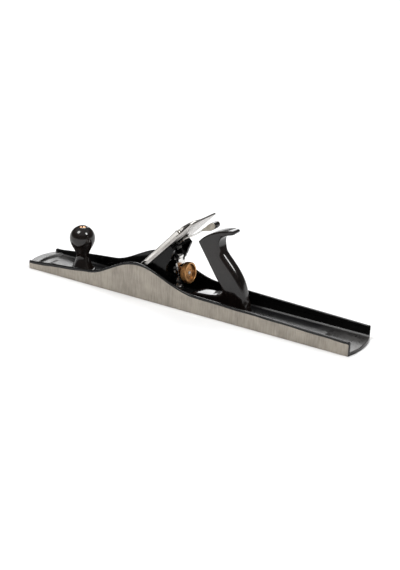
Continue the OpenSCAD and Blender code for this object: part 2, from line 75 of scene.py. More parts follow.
BODY_HI = node_box("body")[1]
HALF_L, HALF_W = BODY_HI[0], BODY_HI[1]
SOLE_T = 4.5
WALL_T = 3.5
INNER_W = HALF_W - WALL_T
TOE_BULGE, HEEL_BULGE = 10.8, 6.0
TOE_R = (HALF_W ** 2 + TOE_BULGE ** 2) / (2 * TOE_BULGE)
HEEL_R = (HALF_W ** 2 + HEEL_BULGE ** 2) / (2 * HEEL_BULGE)
WALL_X0, WALL_X1 = -HALF_L + TOE_BULGE + 0.6, HALF_L - HEEL_BULGE - 0.6
HUMP_X0, HUMP_X, HUMP_X1 = -158.0, -65.5, 34.0
WALL_TOE_H, WALL_FRONT_H, WALL_REAR_H, WALL_HEEL_H = 12.8, 22.5, 27.0, 20.5
WALL_HUMP_H = BODY_HI[2]

LATERAL_AT = joint_at("lateral_lever_swing")
BED_X = LATERAL_AT[0] - LATERAL_AT[2]
MOUTH_X = (BED_X - 6.0, BED_X + 6.5)
SEAT_X = (-90.0, -30.0)
SEAT_W, SEAT_H = 38.0, 10.0
LUG_X = (-45.0, -36.0)
LUG_W, LUG_H = 14.0, 24.0
KNOB_X = (node_box("knob")[0][0] + node_box("knob")[1][0]) / 2
KNOB_TOP = node_box("knob")[1][2]
TOTE_W = node_box("tote")[1][1] * 2
STUD_AT = joint_at("depth_wheel_turn")
STUD_TILT = math.radians(8)
WHEEL_R, WHEEL_T = 16.0, 10.5


def bed(s, y, h):
    """A place s up the bed, y across it and h square to it."""
    return (BED_X + (s - h) * ROOT_HALF, y, (s + h) * ROOT_HALF)


def smooth(t):
    """Eased 0 to 1."""
    t = min(1.0, max(0.0, t))
    return t * t * (3 - 2 * t)


def mix(a, b, t):
    return a + (b - a) * t


def wall_h(x):
    """Height of the side walls at x."""
    if x < HUMP_X0:
        return mix(WALL_TOE_H, WALL_FRONT_H, (x - WALL_X0) / (HUMP_X0 - WALL_X0))
    if x < HUMP_X:
        return mix(WALL_FRONT_H, WALL_HUMP_H, smooth((x - HUMP_X0) / (HUMP_X - HUMP_X0)))
    if x < HUMP_X1:
        return mix(WALL_HUMP_H, WALL_REAR_H, smooth((x - HUMP_X) / (HUMP_X1 - HUMP_X)))
    return mix(WALL_REAR_H, WALL_HEEL_H, (x - HUMP_X1) / (WALL_X1 - HUMP_X1))


def curve(p, steps):
    """Points along a cubic curve with two handles, without its last point."""
    out = []
    for i in range(steps):
        t = i / steps
        u = 1 - t
        out.append(tuple(
            u ** 3 * a + 3 * u * u * t * b + 3 * u * t * t * c + t ** 3 * d
            for a, b, c, d in zip(*p)))
    return out


# ---------------------------------------------------------------- node materials

BLOTCH_SHARE = 0.55      # how much of a surface's colour follows blotches, not marks

def links(mat):
    """A material's nodes, its links and its shader."""
    mat.use_nodes = True
    tree = mat.node_tree
    return tree.nodes, tree.links, tree.nodes["Principled BSDF"]


def grain(nodes, link, scale, stretch, detail=4.0, rough=0.55):
    """Noise in object space, stretched along one or more axes."""
    place = nodes.new("ShaderNodeTexCoord")
    mapping = nodes.new("ShaderNodeMapping")
    mapping.inputs["Scale"].default_value = stretch
    noise = nodes.new("ShaderNodeTexNoise")
    noise.inputs["Scale"].default_value = scale
    noise.inputs["Detail"].default_value = detail
    noise.inputs["Roughness"].default_value = rough
    link.new(place.outputs["Object"], mapping.inputs["Vector"])
    link.new(mapping.outputs["Vector"], noise.inputs["Vector"])
    return noise.outputs["Fac"]


def ramp(nodes, link, value, stops):
    """Colour against a value, from (value, colour) stops."""
    node = nodes.new("ShaderNodeValToRGB")
    while len(node.color_ramp.elements) < len(stops):
        node.color_ramp.elements.new(0.5)
    for element, (at, colour) in zip(node.color_ramp.elements, stops):
        element.position = at
        element.color = (*colour, 1)
    link.new(value, node.inputs["Fac"])
    return node.outputs["Color"]


def spread(nodes, link, value, lo, hi, at=(0.3, 0.7)):
    """Maps the range at of a value on to lo to hi."""
    node = nodes.new("ShaderNodeMapRange")
    node.inputs["From Min"].default_value = at[0]
    node.inputs["From Max"].default_value = at[1]
    node.inputs["To Min"].default_value = lo
    node.inputs["To Max"].default_value = hi
    link.new(value, node.inputs["Value"])
    return node.outputs["Result"]


def finish(name, dark, light, metallic, rough, stretch=(1, 1, 1), scale=900.0, bump=0.2,
           blotch=90.0, bump_depth=0.00004, specular=0.5):
    """A surface with colour blotches, uneven gloss and fine marks, drawn out where stretch is low.

    rough is a range, scale and blotch are the finenesses of marks and blotches, and bump_depth
    is in metres."""
    mat = bpy.data.materials.new(name)
    nodes, link, shader = links(mat)
    shader.inputs["Metallic"].default_value = metallic
    shader.inputs["Specular IOR Level"].default_value = specular
    blotches = grain(nodes, link, blotch, (1, 1, 1), 5.0, 0.6)
    marks = grain(nodes, link, scale, stretch, 3.0, 0.5)
    scaled = nodes.new("ShaderNodeMath")
    scaled.operation = "MULTIPLY"
    scaled.inputs[1].default_value = BLOTCH_SHARE
    link.new(blotches, scaled.inputs[0])
    both = nodes.new("ShaderNodeMath")
    both.operation = "MULTIPLY_ADD"
    both.inputs[1].default_value = 1 - BLOTCH_SHARE
    link.new(marks, both.inputs[0])
    link.new(scaled.outputs[0], both.inputs[2])
    colour = ramp(nodes, link, both.outputs[0], [(0.36, dark), (0.62, light)])
    link.new(colour, shader.inputs["Base Color"])
    link.new(spread(nodes, link, both.outputs[0], *rough), shader.inputs["Roughness"])
    bumped = nodes.new("ShaderNodeBump")
    bumped.inputs["Strength"].default_value = bump
    bumped.inputs["Distance"].default_value = bump_depth
    link.new(marks, bumped.inputs["Height"])
    link.new(bumped.outputs["Normal"], shader.inputs["Normal"])
    return mat


FINISHES = {
    # belt-ground iron: marks run up and down the wall
    "ground": dict(
        name="ground_iron", dark=(0.235, 0.21, 0.178), light=(0.40, 0.36, 0.305), metallic=0.5,
        rough=(0.34, 0.58), stretch=(1, 1, 0.1), scale=620.0, bump=0.4, blotch=34.0,
        bump_depth=0.00006),
    "enamel": dict(
        name="black_enamel", dark=(0.001, 0.001, 0.001), light=(0.005, 0.0048, 0.0046),
        metallic=0.0, rough=(0.06, 0.18), scale=190.0, bump=0.3, blotch=30.0,
        bump_depth=0.00025, specular=0.32),
    "frog": dict(
        name="frog_enamel", dark=(0.001, 0.001, 0.001), light=(0.004, 0.0038, 0.0036),
        metallic=0.0, rough=(0.1, 0.24), scale=120.0, bump=0.5, blotch=30.0,
        bump_depth=0.0009, specular=0.18),
    # the floor's satin enamel; its lighter colour shows only towards both ends of the casting, as
    # painted light
    "floor_enamel": dict(
        name="satin_floor_painted_light_and_shade", dark=(0.008, 0.008, 0.008), light=(0.07, 0.067, 0.063),
        metallic=0.0, rough=(0.2, 0.45), scale=420.0, bump=0.45, blotch=60.0,
        bump_depth=0.00014),
    "steel": dict(
        name="ground_steel", dark=(0.27, 0.255, 0.235), light=(0.52, 0.50, 0.48), metallic=1.0,
        rough=(0.18, 0.38), stretch=(1, 0.06, 1), scale=1600.0, blotch=45.0,
        bump_depth=0.00003),
    # nickel plate: the lighter tones are its own colour, and the darker blotches are painted
    # reflection, standing in for dark things mirrored in the plate
    "chrome": dict(
        name="nickel_plate", dark=(0.46, 0.435, 0.40), light=(0.76, 0.745, 0.72), metallic=1.0,
        rough=(0.05, 0.17), scale=700.0, bump=0.06, blotch=60.0, bump_depth=0.00002),
    "screw": dict(
        name="turned_steel", dark=(0.34, 0.32, 0.30), light=(0.62, 0.60, 0.57), metallic=1.0,
        rough=(0.2, 0.42), scale=1500.0, blotch=110.0),
    "bright": dict(
        name="plated_pressing", dark=(0.62, 0.61, 0.59), light=(0.85, 0.84, 0.82),
        metallic=1.0, rough=(0.12, 0.3), stretch=(1, 0.2, 1), scale=1300.0, bump=0.15,
        blotch=80.0, bump_depth=0.00003),
    # the tab's cheeks: plate coloured a darker brownish grey than the strip
    "tab_side": dict(
        name="brownish_plate", dark=(0.24, 0.215, 0.175), light=(0.42, 0.385, 0.325), metallic=0.6,
        rough=(0.25, 0.45)),
    "tab_end": dict(
        name="dark_plate", dark=(0.012, 0.011, 0.010), light=(0.045, 0.042, 0.04),
        metallic=0.7, rough=(0.12, 0.3), scale=700.0),
    "brass": dict(
        name="worn_brass", dark=(0.26, 0.115, 0.04), light=(0.60, 0.315, 0.12), metallic=1.0,
        rough=(0.2, 0.4), scale=1300.0, blotch=95.0),
    "bronze": dict(
        name="spring_strip", dark=(0.52, 0.34, 0.16), light=(0.76, 0.58, 0.34), metallic=1.0,
        rough=(0.22, 0.4), stretch=(0.1, 1, 1), scale=1300.0, bump_depth=0.00003),
    "handle": dict(
        name="polished_handle", dark=(0.002, 0.0015, 0.0014), light=(0.011, 0.0075, 0.0062),
        metallic=0.0, rough=(0.05, 0.16), stretch=(1, 1, 0.12), scale=260.0, bump=0.1,
        blotch=14.0, bump_depth=0.00005),
}
MATS = {key: finish(**look) for key, look in FINISHES.items()}

# ---------------------------------------------------------------- mesh tools


def piece(name, build, mats, body, replaces, sharp):
    """One mesh object that rides on a body and stands for CAD nodes.

    Faces take the material that their tag counts to, and edges bent more than sharp degrees
    stay sharp."""
    mesh = bpy.data.meshes.new(name)
    mesh.from_pydata([tuple(c * MM for c in v) for v in build.v], [], build.f)
    for key in mats:
        mesh.materials.append(MATS[key])
    if len(mats) > 1:
        mesh.polygons.foreach_set("material_index", build.t)
    bm = bmesh.new()
    bm.from_mesh(mesh)
    bmesh.ops.remove_doubles(bm, verts=bm.verts, dist=WELD_DIST * MM)
    bmesh.ops.dissolve_degenerate(bm, edges=bm.edges, dist=SLIVER_DIST * MM)
    bmesh.ops.recalc_face_normals(bm, faces=bm.faces)
    bm.to_mesh(mesh)
    bm.free()
    mesh.polygons.foreach_set("use_smooth", [True] * len(mesh.polygons))
    mesh.set_sharp_from_angle(angle=math.radians(sharp))
    obj = bpy.data.objects.new(name, mesh)
    bpy.context.scene.collection.objects.link(obj)
    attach(obj, body)
    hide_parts(*replaces)


class Build:
    """Vertices, faces and face tags of a piece in the making."""

    def __init__(self):
        self.v, self.f, self.t = [], [], []

    def add(self, verts, faces, tag=0):
        n = len(self.v)
        self.v += [tuple(float(c) for c in p) for p in verts]
        self.f += [tuple(i + n for i in face) for face in faces]
        self.t += [tag] * len(faces)

    def turned(self, outline, place, segments=96, wave=None):
        """A turned shape. outline is (radius, along) from one end of the axis to the other.

        wave(radius, along, index) adds to the radius, for knurling."""
        rings, verts, faces = [], [], []
        for r, z in outline:
            if r < NO_RADIUS:
                rings.append([len(verts)])
                verts.append(place(0.0, 0.0, z))
                continue
            ring = []
            for i in range(segments):
                a = 2 * math.pi * i / segments
                rr = r + (wave(r, z, i) if wave else 0.0)
                ring.append(len(verts))
                verts.append(place(rr * math.cos(a), rr * math.sin(a), z))
            rings.append(ring)
        for a, b in zip(rings, rings[1:]):
            for i in range(segments):
                j = (i + 1) % segments
                if len(a) == 1 and len(b) > 1:
                    faces.append((a[0], b[i], b[j]))
                elif len(b) == 1 and len(a) > 1:
                    faces.append((a[i], b[0], a[j]))
                elif len(a) > 1:
                    faces.append((a[i], b[i], b[j], a[j]))
        self.add(verts, faces)

    def loft(self, loops, place, tag=0):
        """Quads between closed loops of equal length, with both ends capped."""
        n = len(loops[0])
        verts = [place(*p) for loop in loops for p in loop]
        faces = []
        for k in range(len(loops) - 1):
            for i in range(n):
                j = (i + 1) % n
                faces.append((k * n + i, k * n + j, (k + 1) * n + j, (k + 1) * n + i))
        faces.append(tuple(range(n - 1, -1, -1)))
        faces.append(tuple((len(loops) - 1) * n + i for i in range(n)))
        self.add(verts, faces, tag)

    def plate(self, outline, half, place, edge, flat_below=None, grid=2.5, tag=0):
        """A plate from an outline in two axes, half thick each way, with its rim rounded.

        edge is how far in the rounding reaches: one value, or a function of an outline point.
        Outline edges that lie wholly below flat_below in the second axis stay square."""
        pts = np.array(outline, float)
        pts = pts[np.linalg.norm(pts - np.roll(pts, -1, axis=0), axis=1) > 0.05]
        reach = edge if callable(edge) else lambda x, y: edge
        nxt = np.roll(pts, -1, axis=0)
        keep = np.ones(len(pts), bool)
        if flat_below is not None:
            keep = ~((pts[:, 1] < flat_below) & (nxt[:, 1] < flat_below))
        a, b = pts[keep], nxt[keep]
        rounding = np.array([reach(*p) for p in (a + b) / 2])

        def away(q):
            d = b - a
            t = np.clip(((q[:, None] - a) * d).sum(2) / (d * d).sum(1), 0, 1)
            return np.linalg.norm(q[:, None] - (a + t[..., None] * d), axis=2)

        def thickness(q):
            """Half thickness at each point: the least that any rim edge allows."""
            short = np.maximum(rounding - away(q), 0)
            return (half - rounding + np.sqrt(rounding ** 2 - short ** 2)).min(1)

        def inside(q, poly):
            x, y = q[:, 0][:, None], q[:, 1][:, None]
            p, r = poly, np.roll(poly, -1, axis=0)
            cross = (p[:, 1] > y) != (r[:, 1] > y)
            with np.errstate(divide="ignore", invalid="ignore"):
                at = (r[:, 0] - p[:, 0]) * (y - p[:, 1]) / (r[:, 1] - p[:, 1]) + p[:, 0]
            return ((cross & (x < at)).sum(1) % 2) == 1

        # rows of points that follow the rim through its rounding, then a plain grid inside
        tangent = nxt - np.roll(pts, 1, axis=0)
        tangent /= np.maximum(np.linalg.norm(tangent, axis=1)[:, None], 1e-9)
        normal = np.stack([-tangent[:, 1], tangent[:, 0]], 1)
        wide = np.array([reach(*p) for p in pts])
        extra = []
        for turn in (10, 25, 42, 62, 90):
            d = wide * (1 - math.cos(math.radians(turn)))
            for sign in (1, -1):
                q = pts + sign * normal * d[:, None]
                ok = inside(q, pts) & (np.abs(away(q).min(1) - d) < 0.12 * d + 0.01)
                extra.append(q[ok])
        lo, hi = pts.min(0), pts.max(0)
        xs, ys = np.arange(lo[0], hi[0], grid), np.arange(lo[1], hi[1], grid)
        q = np.array([(x, y) for x in xs for y in ys])
        q = q[inside(q, pts)]
        extra.append(q[(away(q) - rounding).min(1) > grid * 0.6])
        flat = [Vector(p) for p in np.vstack([pts] + extra)]
        edges = [(i, (i + 1) % len(pts)) for i in range(len(pts))]
        verts2, _, tris, *_ = delaunay_2d_cdt(flat, edges, [], 0, 1e-4)
        v2 = np.array([tuple(p) for p in verts2])
        centre = np.array([v2[list(t)].mean(0) for t in tris])
        tris = [t for t, good in zip(tris, inside(centre, pts)) if good]
        thick = thickness(v2)
        n = len(v2)
        verts = [place(p[0], p[1], t) for p, t in zip(v2, thick)]
        verts += [place(p[0], p[1], -t) for p, t in zip(v2, thick)]
        faces, count = [], {}
        for t in tris:
            faces.append(tuple(t))
            faces.append(tuple(i + n for i in reversed(t)))
            for i, j in zip(t, t[1:] + t[:1]):
                count.setdefault((min(i, j), max(i, j)), []).append((i, j))
        for key, used in count.items():
            if len(used) == 1:
                i, j = used[0]
                if thick[i] > NO_THICKNESS or thick[j] > NO_THICKNESS:
                    faces.append((j, i, i + n, j + n))
        self.add(verts, faces, tag)


# ---------------------------------------------------------------- body

FLOOR_Y = sorted({round(s * y, 3) for s in (-1, 1) for y in (
    0, 1.2, 2.4, 3.6, 4.8, 6, 7, 7.5, 8, 8.6, 9.8, 11, 12, 12.7, 14, 15.4, 16.8, 18.2, 19, 19.7,
    21, 22.4, 23.8, 25.2, 26.6, 28, 28.9, 29.7, 30.4, 30.9, 31.3)})
KNOB_RING_R = 19.5
TOTE_SEAT_X = (60, 106)
BAND = (4.4, 3.3)    # enamelled strip above the ground side: at the toe, and from the hump on
FILLET, END_ROUND, RIM_ROUND, RIM_RISE = 3.0, 1.6, 1.2, 1.3
RIM_POINTS = 9
ENAMEL, GROUND, FLOOR = 0, 1, 2     # material slots of the casting


def toe_x(y):
    """The rounded toe's end at y, as heel_x is the heel's."""
    return -HALF_L + TOE_R - math.sqrt(TOE_R ** 2 - y * y)


def heel_x(y):
    return HALF_L - HEEL_R + math.sqrt(HEEL_R ** 2 - y * y)


def rounded(r, away):
    """How far a corner rounded to r drops, at a distance away from its edge."""
    return r - math.sqrt(max(r * r - max(r - away, 0) ** 2, 0))


def step_up(v, lo, hi, soft=0.7):
    """1 between lo and hi, with soft edges outside them."""
    return smooth((v - lo) / soft + 1) * smooth((hi - v) / soft + 1)


def floor_z(x, y):
    """Height of the casting's inside floor."""
    e = INNER_W - abs(y)
    near_mouth = step_up(x, MOUTH_X[0] - 1, SEAT_X[0] + 4, 6)
    fillet = rounded(FILLET, e)
    z = SOLE_T + fillet * (1 - near_mouth)
    raised = [
        # the frog's seat and the lug behind it
        (SEAT_H, step_up(x, *SEAT_X) * step_up(abs(y), -1, SEAT_W / 2)),
        (LUG_H, step_up(x, *LUG_X) * step_up(abs(y), -1, LUG_W / 2, 0.5)),
        # the bar ahead of the mouth and the one across the toe
        (7.0, step_up(x, MOUTH_X[0] - 16, MOUTH_X[0], 1.5)),
        (7.8, step_up(x, -HALF_L - 9, -266, 2.0)),
        # the tote's seat, the long ribs behind the tote and under the knob, and the tote's boss
        (7.0, step_up(x, *TOTE_SEAT_X, 1.2) * step_up(abs(y), -1, 12)),
        (SOLE_T + 2.2, step_up(x, 104, 225, 3.0) * step_up(abs(y), -1, 8, 0.6)),
        (SOLE_T + 1.1, step_up(x, -246, KNOB_X, 3.0) * step_up(abs(y), -1, 8, 0.6)),
        (7.0, smooth((11.8 - math.hypot(x - 22.5, y)) / 0.8)),
    ]
    for top, share in raised:
        if share > 0:
            z = max(z, mix(SOLE_T, top, share))
    return z


def body_stations():
    """The places along the body that get a section, closest together at the ends."""
    near_end = (0, 0.15, 0.5, 1.0, 1.7, 2.6, 4, 6, 9)
    xs = [-HALF_L + d for d in near_end]
    xs += [x for x in np.arange(-HALF_L + 12, HALF_L - 11, 2.0)
           if not MOUTH_X[0] - 1.2 < x < MOUTH_X[1] + 1.2]
    xs += [HALF_L - d for d in near_end]
    for edge in (*MOUTH_X, *SEAT_X, *LUG_X, *TOTE_SEAT_X):
        xs += [edge] if edge in MOUTH_X else [edge - 0.7, edge, edge + 0.7]
    return sorted({round(float(x), 3) for x in xs})


def body_section(x):
    """The closed section at x: points, and for each point the tag of the face that follows it."""
    toe = max(0.0, 1 - (x + HALF_L) / 60)
    heel = max(0.0, 1 - (HALF_L - x) / 60)

    def at(y, z):
        shift = smooth(toe) * (toe_x(y) - toe_x(0)) + smooth(heel) * (heel_x(y) - heel_x(0))
        return (x + shift, y, z)

    from_end = min(x + HALF_L, HALF_L - x)
    h = wall_h(min(max(x, WALL_X0), WALL_X1)) - rounded(END_ROUND, from_end)
    wobble = 0.25 * math.sin(x * 0.11) + 0.18 * math.sin(x * 0.043 + 1)
    band = h - mix(*BAND, smooth((x + 230) / 120)) + wobble
    rim = [(-HALF_W + WALL_T / 2 * (1 - math.cos(a)), h - RIM_RISE + RIM_RISE * math.sin(a))
           for a in np.linspace(0, math.pi, RIM_POINTS)]
    end_drop = rounded(RIM_ROUND, from_end)
    floor = [(y, floor_z(x, y) - end_drop) for y in FLOOR_Y]
    pts, tags = [], []

    def put(items, tag):
        for y, z in items:
            pts.append(at(y, z))
            tags.append(tag)

    ease = 0.4
    foot = floor[0][1] + 0.15
    half_up = mix(rim[-1][1], foot, 0.5)
    put([(y, 0) for y in reversed(FLOOR_Y)], GROUND)
    put([(-HALF_W + ease, 0), (-HALF_W, ease)], GROUND)
    put([(-HALF_W, band)] + rim, ENAMEL)
    put([(-INNER_W, half_up), (-INNER_W, foot)], ENAMEL)
    put(floor, FLOOR)
    put([(INNER_W, foot), (INNER_W, half_up)], ENAMEL)
    put([(-y, z) for y, z in reversed(rim)], ENAMEL)
    put([(HALF_W, band), (HALF_W, ease), (HALF_W - ease, 0)], GROUND)
    return pts, tags


def make_body():
    """The sole casting: its sections joined, with the mouth left open and both ends closed."""
    b = Build()
    xs = body_stations()
    sections = [body_section(x) for x in xs]
    n, nf = len(sections[0][0]), len(FLOOR_Y)
    top0 = nf + 3 + RIM_POINTS + 2     # index of the first floor point in a section
    verts = [p for pts, _ in sections for p in pts]
    faces, tags = [], []
    mouth = xs.index(round(float(MOUTH_X[0]), 3))
    for k in range(len(xs) - 1):
        a, c = k * n, (k + 1) * n
        for i in range(n):
            j = (i + 1) % n
            on_floor = top0 <= i < top0 + nf - 1 or i < nf - 1
            if k == mouth and on_floor:
                continue
            faces.append((a + i, a + j, c + j, c + i))
            tags.append(sections[k][1][i])

    def upright(k, i):
        """The quad from the sole up to the floor, between floor points i and i + 1."""
        return tuple(k * n + v for v in (top0 + i, top0 + i + 1, nf - 2 - i, nf - 1 - i))

    for k, flip in ((mouth, 1), (mouth + 1, -1)):
        for i in range(nf - 1):
            faces.append(upright(k, i)[::flip])
            tags.append(GROUND)
    near, far = mouth * n, (mouth + 1) * n
    for top, low in ((top0, nf - 1), (top0 + nf - 1, 0)):
        faces.append((near + top, far + top, far + low, near + low))
        tags.append(GROUND)
    wall_l = list(range(nf - 1, top0 + 1))
    wall_r = list(range(top0 + nf - 1, n)) + [0]
    for k in (0, len(xs) - 1):
        faces += [upright(k, i) for i in range(nf - 1)]
        faces += [tuple(k * n + i for i in loop) for loop in (wall_l, wall_r)]
        tags += [ENAMEL] * (nf + 1)
    b.v, b.f, b.t = verts, faces, tags
    ring = [(0, SOLE_T - 0.5), (KNOB_RING_R + 1.6, SOLE_T - 0.5), (KNOB_RING_R + 0.4, SOLE_T + 0.9),
            (KNOB_RING_R, 6.8), (KNOB_RING_R - 0.5, 7.7), (KNOB_RING_R - 1.3, 8.0),
            (17.4, 7.9), (16.9, 7.3), (16.7, 5.8), (0, 5.8)]
    b.turned(ring, lambda x, y, z: (KNOB_X + x, y, z), 96)
    piece("body_casting", b, ("enamel", "ground", "floor"), "bed", ["body"],
          32)


# ---------------------------------------------------------------- knob, tote and their nuts

TOTE_BOLT = ((84.0, 0, 12.0), (45.0, 0, 112.0))


def arc(cx, cy, r, a0, a1, steps):
    """Points on an arc, angles in degrees, with both ends."""
    return [(cx + r * math.cos(math.radians(mix(a0, a1, i / steps))),
             cy + r * math.sin(math.radians(mix(a0, a1, i / steps)))) for i in range(steps + 1)]


def make_knob():
    ball_r = (node_box("knob")[1][0] - node_box("knob")[0][0]) / 2
    ball_z = KNOB_TOP + 0.6 - ball_r
    low = -25
    outline = [(0, 5.8), (15.6, 5.8)] + arc(15.6, 6.5, 0.7, -90, 0, 4) + [(16.3, 8.6)]
    outline += arc(15.9, 8.8, 0.4, 0, 60, 2)
    outline += curve([(16.0, 9.3), (14.4, 14), (10.4, 22), (9.9, 28)], 16)
    outline += curve([(9.9, 28), (9.7, 31.5), (10.6, 33.5), (11.8, 36)], 8)
    outline += curve([(11.8, 36), (14.2, 41), (16.6, 44.6),
                      (ball_r * math.cos(math.radians(low)),
                       ball_z + ball_r * math.sin(math.radians(low)))], 10)
    outline += arc(0, ball_z, ball_r, low, 70, 26)
    outline += [(6.1, KNOB_TOP - 0.9), (5.7, KNOB_TOP - 1.5),
                (5.6, KNOB_TOP - 11), (0, KNOB_TOP - 11)]
    b = Build()
    b.turned(outline, lambda x, y, z: (KNOB_X + x, y, min(z, KNOB_TOP)), 128)
    piece("front_knob", b, ("handle",), "bed", ["knob"], 40)


def dome_nut(build, place, top):
    """A round-headed barrel nut with a driver slot, its top at top."""
    head, barrel, slot, slot_depth = 5.3, 4.6, 0.65, 1.6
    outline = [(0, top - 8.4), (barrel, top - 8.4), (barrel, top - 2.9), (head - 0.4, top - 2.9),
               (head, top - 2.5), (head, top - 0.9), (head - 0.35, top - 0.4),
               (head - 1.4, top - 0.1)]
    outline += [(r, top) for r in (3.2, 2.4, 1.6, 1.0, 0.5, 0)]

    def cut(x, y, z):
        return place(x, y, min(z, top - slot_depth) if abs(x) < slot else z)

    build.turned(outline, cut, 96)


def make_nuts():
    """Both nuts; the knob's slot is turned a little, and the tote's nut leans with its bolt."""
    b = Build()
    dome_nut(b, lambda x, y, z: (KNOB_X + x * 0.8 - y * 0.6, x * 0.6 + y * 0.8, z),
             node_box("knob_nut")[1][2])
    piece("knob_brass_nut", b, ("brass",), "bed", ["knob_nut"], 30)
    foot, top = np.array(TOTE_BOLT[0]), np.array(TOTE_BOLT[1])
    up = (top - foot) / np.linalg.norm(top - foot)
    across = np.array((0, 1, 0))
    side = np.cross(across, up)
    b = Build()
    dome_nut(b, lambda x, y, z: tuple(top + side * x + across * y + up * z), 0.0)
    piece("tote_brass_nut", b, ("brass",), "bed", ["tote_nut"], 30)


def tote_outline():
    """The tote's side view, round from its toe: front, horn, back, heel and foot."""
    foot, toe, heel = 7.0, 11.0, 103.5
    pts = [(toe, foot), (toe, 12)] + curve([(toe, 12), (toe, 21), (18, 21.5), (34, 22.4)], 8)
    pts += curve([(34, 22.4), (42, 23), (46, 23.5), (50, 24.5)], 5)
    pts += curve([(50, 24.5), (65, 26.5), (71, 31), (55.2, 49.5)], 12)
    pts += [(mix(55.2, 22.8, t), mix(49.5, 98.6, t)) for t in np.linspace(0, 1, 16)[:-1]]
    pts += curve([(22.8, 98.6), (32, 110), (46, 118), (64.5, 122.4)], 14)
    pts += curve([(64.5, 122.4), (71, 123.8), (77, 125.6), (79.6, 122.6)], 10)
    pts += curve([(79.6, 122.6), (80.2, 119.6), (77, 118.2), (73.5, 117.4)], 7)
    pts += curve([(73.5, 117.4), (64, 115.3), (56.6, 112), (56.4, 103)], 16)
    pts += curve([(56.4, 103), (55.8, 88), (83, 75), (94.6, 48.5)], 22)
    pts += curve([(94.6, 48.5), (100.4, 34), (99, 28), (heel, 20)], 12)
    pts += [(heel, 20), (heel, 13), (heel, foot)]
    n = 24
    pts += [(mix(heel, toe, i / n), foot) for i in range(1, n)]
    return pts


def make_tote():
    b = Build()

    def place(x, z, y):
        # the horn thins towards its tip
        thin = 1 - 0.3 * smooth((x - 60) / 22) * smooth((z - 108) / 12)
        return (x, y * thin, z)

    def edge(x, z):
        """Crisp along the front, foot and top, full and round down the back of the grip."""
        crisp, full = 2.6, 9.0
        if z > 112 or (z > 26 and x < 22.5 + (99 - z) * 0.66 + 2):
            return crisp
        return mix(crisp, full, smooth((x - 56) / 8) * smooth((z - 8) / 9))

    b.plate(tote_outline(), TOTE_W / 2, place, edge, 7.5, grid=3.0)
    piece("rear_tote", b, ("handle",), "bed", ["tote"], 50)


# ---------------------------------------------------------------- depth wheel and collar

def on_stud(x, y, t):
    """t runs rearward along the stud; x and y are square to it."""
    c, s = math.cos(STUD_TILT), math.sin(STUD_TILT)
    return (STUD_AT[0] + t * c - x * s, y, STUD_AT[2] + t * s + x * c)


def make_wheel():
    """The knurled wheel, the grooved collar ahead of it and the threaded stud they run on."""
    b = Build()
    knurls, per = 90, 4      # grooves round the wheel, and points to each
    front = -7.6             # the knurled band; a plain boss runs on from it to the collar

    def knurl(r, t, i):
        if r < WHEEL_R - 0.8 or not front + 0.8 < t < -0.9:
            return 0.0
        lane = math.sin(t * 2.4) * 0.12
        return -0.34 * abs(math.sin(math.pi * (i / per))) + lane

    rim = [(WHEEL_R - 0.45, t) for t in np.linspace(front + 0.9, -1.0, 9)]
    outline = [(5.06, -WHEEL_T), (9.2, -WHEEL_T), (9.7, -WHEEL_T + 0.5), (9.8, front - 0.5),
               (10.3, front), (WHEEL_R - 1.4, front), (WHEEL_R - 0.6, front + 0.35)]
    outline += rim + [(WHEEL_R - 0.6, -0.45), (WHEEL_R - 1.1, -0.1), (WHEEL_R - 1.8, 0),
                      (12.9, -0.1), (12.5, -0.5), (12.2, -2.4), (11.4, -3.3), (9.5, -3.5),
                      (7.6, -3.3), (7.1, -2.7), (5.6, -2.6), (5.06, -2.9), (5.06, -WHEEL_T)]
    b.turned(outline, on_stud, knurls * per, knurl)
    piece("depth_wheel_knurled", b, ("brass",), "wheel", ["depth_wheel"], 28)
    b = Build()
    outline = [(3.2, -21), (7.4, -21)] + arc(7.4, -20.4, 0.6, -90, 0, 4)
    outline += [(8.0, -18.2), (7.5, -17.6), (5.5, -17.5), (5.5, -12.3), (8.0, -12.2), (8.5, -11.8),
                (8.5, -11.0), (8.1, -10.56), (4.95, -10.5), (4.95, -3.2), (4.6, -2.7),
                (3.2, -2.65), (3.2, -21)]
    b.turned(outline, on_stud, 72)
    piece("depth_collar_grooved", b, ("brass",), "collar", ["depth_collar"], 30)
    b = Build()
    r, root, pitch = 3.1, -35, 1.06
    outline = [(0, root)]
    for i in range(int(33 / pitch)):
        t = root + i * pitch
        outline += [(r - 0.35, t + 0.05), (r, t + pitch * 0.45), (r, t + pitch * 0.55)]
    outline += [(r - 0.3, -2.3), (r - 0.6, -2.05), (r - 1.2, -1.9), (r - 2.0, -1.82), (0, -1.8)]
    b.turned(outline, on_stud, 40)
    piece("depth_stud_threaded", b, ("screw",), "frog_body", ["depth_stud"], 30)


# ---------------------------------------------------------------- lever cap, cam, lateral lever

# Places up the bed (s) of the cap's end, its screw, the cam's pin and the gap between the ears.
LEVER_S, SCREW_S, PIN_S, PIN_H, EAR_S = 147.0, 72.0, 140.0, 9.2, 131.0
KEY_S = SCREW_S - 14           # centre of the keyhole's wide end
KEY_R, SLOT_R, EAR_GAP, SKIRT_T = 8.6, 4.2, 15.4, 3.5
TONGUE_HALF = 19.0             # half width of the cam's tongue


def lever_half_width(s):
    """Half width of the lever cap; it narrows from its foot to the cam."""
    if s < 36:
        return 29.0
    pts = curve([(36, 29), (62, 28), (78, 22.5), (LEVER_S + 1, 21.5)], 40) + [(LEVER_S + 1, 21.5)]
    return float(np.interp(s, [p[0] for p in pts], [p[1] for p in pts]))


